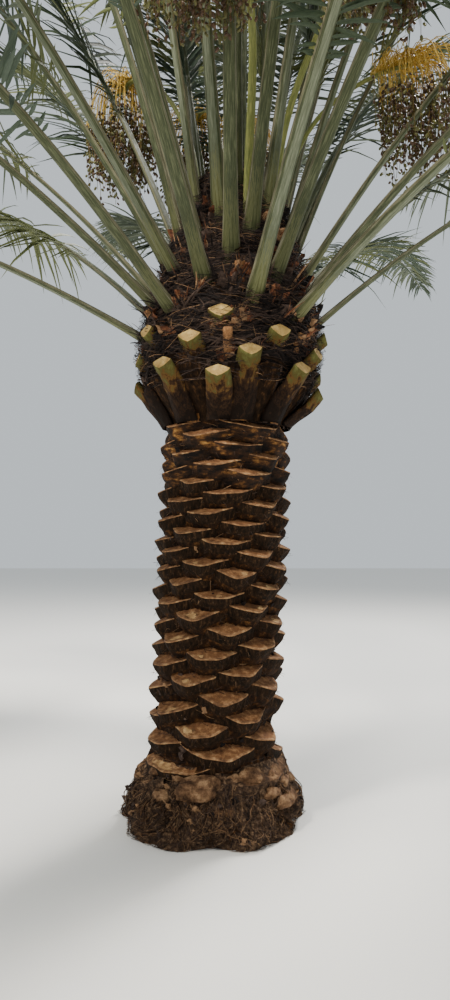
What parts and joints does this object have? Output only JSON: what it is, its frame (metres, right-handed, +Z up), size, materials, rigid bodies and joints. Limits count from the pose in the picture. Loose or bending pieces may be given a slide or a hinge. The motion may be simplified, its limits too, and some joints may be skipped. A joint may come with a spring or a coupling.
{
  "type": "date palm tree",
  "caption": "Date palm tree with a trunk clad in cut leaf bases, a flared head of fibre and cut stalks, an open crown of arching feather fronds and hanging bunches of dates.",
  "frame": {"origin": "middle of the flat cut through the root boss at ground level", "axes": "+Z up from the ground, -Y towards the front of the tree, +X to the right seen from the front, the way that the trunk leans"},
  "size_m": [8.1312, 8.2815, 6.4233],
  "materials": {
    "trunk_bark": "rough cut leaf bases, dark brown fibre with tan cut faces",
    "crown_fibre": "matted near-black fibre with cut green and cream stalks",
    "frond_green": "smooth grey-green stalk and dull grey-green leaflets",
    "fruit_stalk": "smooth yellow-green",
    "date_strands": "golden strands with small dark dates"
  },
  "bodies": {
    "root": {"trunk": "trunk_bark", "crown_head": "crown_fibre", "frond_01": "frond_green", "frond_02": "frond_green", "frond_03": "frond_green", "frond_04": "frond_green", "frond_05": "frond_green", "frond_06": "frond_green", "frond_07": "frond_green", "frond_08": "frond_green", "frond_09": "frond_green", "frond_10": "frond_green", "frond_11": "frond_green", "frond_12": "frond_green", "frond_13": "frond_green", "frond_14": "frond_green", "frond_15": "frond_green", "frond_16": "frond_green", "frond_17": "frond_green", "frond_18": "frond_green", "frond_19": "frond_green", "frond_20": "frond_green", "frond_21": "frond_green", "frond_22": "frond_green", "frond_23": "frond_green", "frond_24": "frond_green", "frond_25": "frond_green", "frond_26": "frond_green", "frond_27": "frond_green", "frond_28": "frond_green", "frond_29": "frond_green", "frond_30": "frond_green", "frond_31": "frond_green", "frond_32": "frond_green", "frond_33": "frond_green", "frond_34": "frond_green", "frond_35": "frond_green", "frond_36": "frond_green", "frond_37": "frond_green", "frond_38": "frond_green", "frond_39": "frond_green", "frond_40": "frond_green", "frond_41": "frond_green", "frond_42": "frond_green", "fruit_stalk_1": "fruit_stalk", "fruit_stalk_2": "fruit_stalk", "fruit_stalk_3": "fruit_stalk", "fruit_stalk_4": "fruit_stalk", "fruit_stalk_5": "fruit_stalk", "fruit_stalk_6": "fruit_stalk", "fruit_bunch_1": "date_strands", "fruit_bunch_2": "date_strands", "fruit_bunch_3": "date_strands", "fruit_bunch_4": "date_strands", "fruit_bunch_5": "date_strands", "fruit_bunch_6": "date_strands"}
  },
  "joints": []
}
